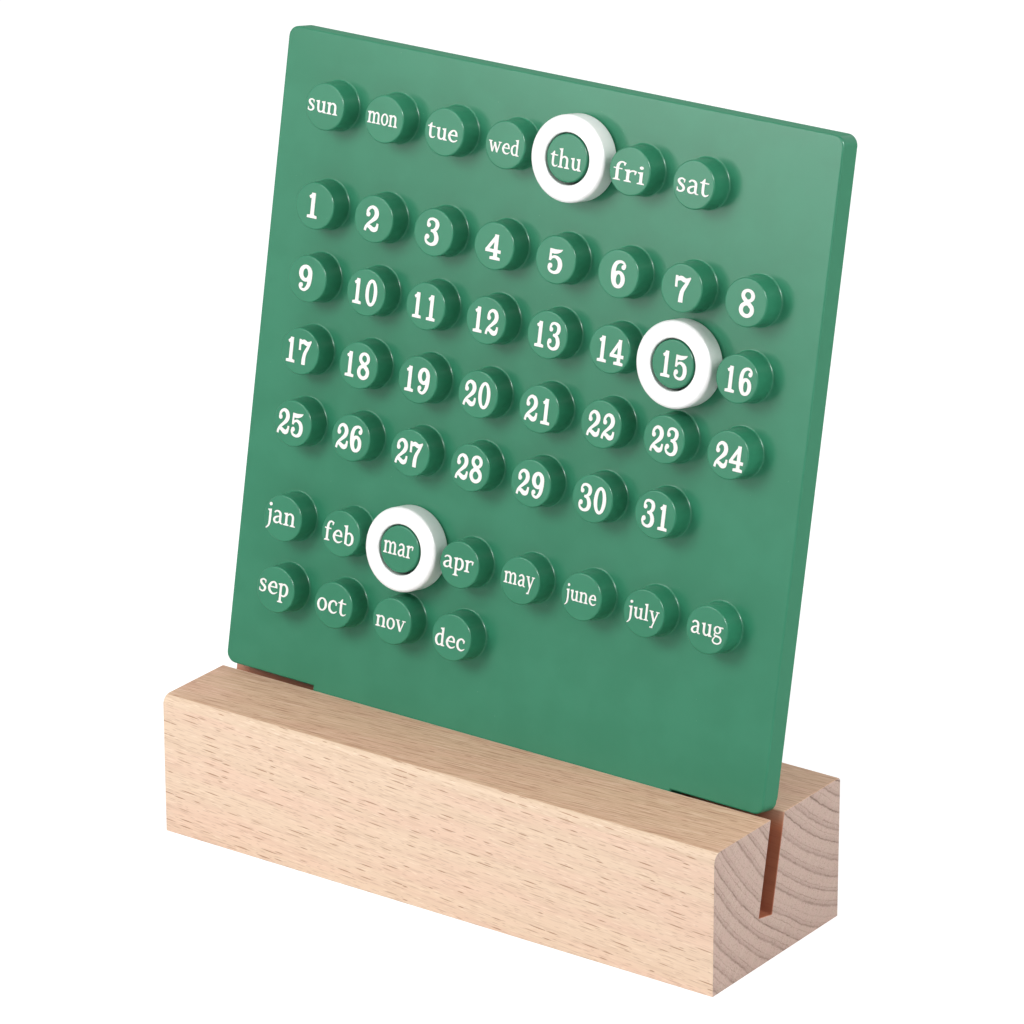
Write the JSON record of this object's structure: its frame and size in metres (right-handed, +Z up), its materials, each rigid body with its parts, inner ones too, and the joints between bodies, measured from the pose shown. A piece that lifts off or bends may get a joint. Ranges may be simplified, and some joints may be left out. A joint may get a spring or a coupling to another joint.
{
  "type": "perpetual desk calendar",
  "caption": "Perpetual desk calendar: a peg panel leans in the slot of a wooden block, and rings on its pegs mark the weekday, the date and the month.",
  "frame": {"origin": "middle of the block's underside, on the surface that the calendar stands on", "axes": "+Z up, +X to the right along the block, +Y to the back, the way the panel leans"},
  "size_m": [0.15, 0.0559, 0.1795],
  "materials": {
    "beech": "planed, unvarnished",
    "green_plastic": "semi-matte moulding",
    "white_plastic": "satin moulding"
  },
  "bodies": {
    "block": {"base_block": "beech"},
    "panel": {"calendar_panel": "green_plastic"},
    "weekday_marker": {"weekday_ring": "white_plastic"},
    "date_marker": {"date_ring": "white_plastic"},
    "month_marker": {"month_ring": "white_plastic"}
  },
  "joints": [
    {"name": "panel_lift", "type": "slide", "parent": "block", "child": "panel", "axis": [0, 0.1891, 0.982], "range_m": [0, 0.025]},
    {"name": "weekday_ring_pull", "type": "slide", "parent": "panel", "child": "weekday_marker", "axis": [0, -0.982, 0.1891], "range_m": [0, 0.008]},
    {"name": "date_ring_pull", "type": "slide", "parent": "panel", "child": "date_marker", "axis": [0, -0.982, 0.1891], "range_m": [0, 0.008]},
    {"name": "month_ring_pull", "type": "slide", "parent": "panel", "child": "month_marker", "axis": [0, -0.982, 0.1891], "range_m": [0, 0.008]}
  ]
}
